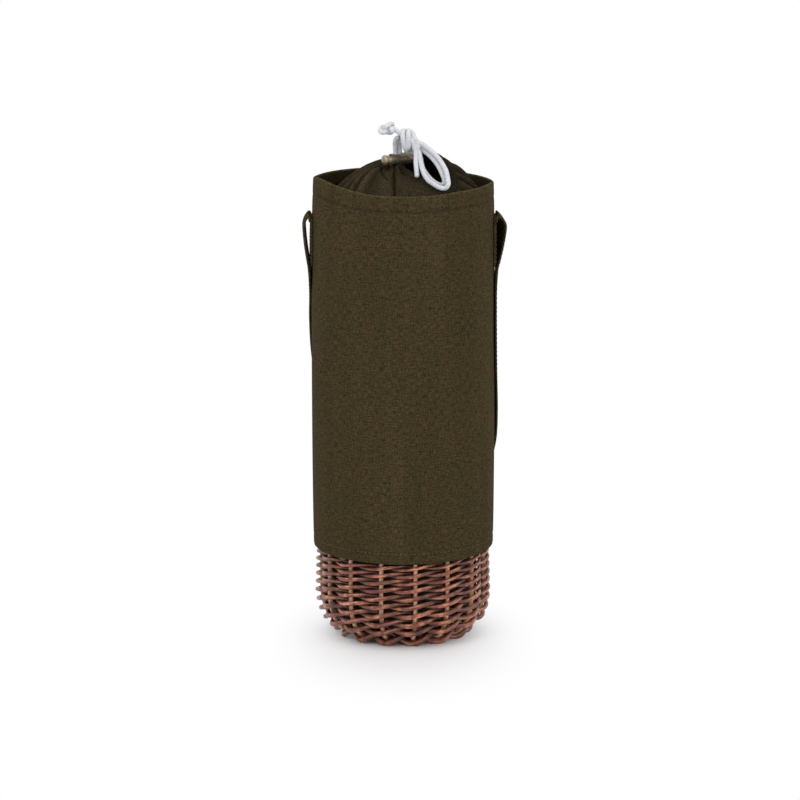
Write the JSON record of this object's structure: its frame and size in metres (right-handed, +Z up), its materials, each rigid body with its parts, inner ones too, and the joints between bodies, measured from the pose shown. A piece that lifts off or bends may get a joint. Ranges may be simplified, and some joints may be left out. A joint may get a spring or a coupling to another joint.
{
  "type": "wine bottle basket",
  "caption": "Tall canvas bottle carrier with a woven willow foot, insulated inside, closed by a gathered collar with a drawcord and cord lock, and carried by a strap.",
  "frame": {"origin": "centre of the base, on the floor it stands on, at the flat underside of the base stick that crosses the middle", "axes": "+Z up along the basket's axis, -Y to the front, where the cord's loop hangs over the collar, +X to the right sewn end of the strap"},
  "size_m": [0.1532, 0.1438, 0.4049],
  "materials": {
    "willow": "satin",
    "canvas": "matte",
    "foam": "matte",
    "padding": "matte",
    "lining": "matte",
    "board": "matte",
    "cord": "matte",
    "lock": "satin",
    "spring": "satin"
  },
  "bodies": {
    "basket": {"base_board": "board", "base_stick_1": "willow", "base_stick_2": "willow", "base_stick_3": "willow", "base_stick_4": "willow", "base_weaver_a": "willow", "base_weaver_b": "willow", "canvas_body": "canvas", "collar": "canvas", "cord_free_end": "cord", "cord_in_hem": "cord", "cord_loop_back": "cord", "cord_loop_front": "cord", "cord_strand_left": "cord", "cord_strand_right": "cord", "cord_tail": "cord", "foot_wale_a": "willow", "foot_wale_b": "willow", "insulated_cup": "foam", "lining": "lining", "main_knot": "cord", "padding_sleeve": "padding", "side_weaver_a": "willow", "side_weaver_b": "willow", "stake_01": "willow", "stake_02": "willow", "stake_03": "willow", "stake_04": "willow", "stake_05": "willow", "stake_06": "willow", "stake_07": "willow", "stake_08": "willow", "stake_09": "willow", "stake_10": "willow", "stake_11": "willow", "stake_12": "willow", "stake_13": "willow", "stake_14": "willow", "stake_15": "willow", "stopper_knot": "cord", "strap_end_left": "canvas", "strap_end_right": "canvas", "top_border_a": "willow", "top_border_b": "willow"},
    "strap": {"carry_strap": "canvas"},
    "cord_lock": {"lock_barrel": "lock", "lock_spring": "spring"},
    "lock_button": {"lock_plunger": "lock"}
  },
  "joints": [
    {"name": "strap_swing", "type": "hinge", "parent": "basket", "child": "strap", "pos_m": [0, 0, 0.3275], "axis": [1, 0, 0], "range_deg": [0, 160]},
    {"name": "lock_slide", "type": "slide", "parent": "basket", "child": "cord_lock", "axis": [0, 0, 1], "range_m": [0, 0.004]},
    {"name": "button_press", "type": "slide", "parent": "cord_lock", "child": "lock_button", "axis": [0.866, 0.5, 0], "range_m": [0, 0.003], "stiffness_N_per_m": 800, "springref_m": -0.003, "deforming": ["lock_spring"]}
  ]
}
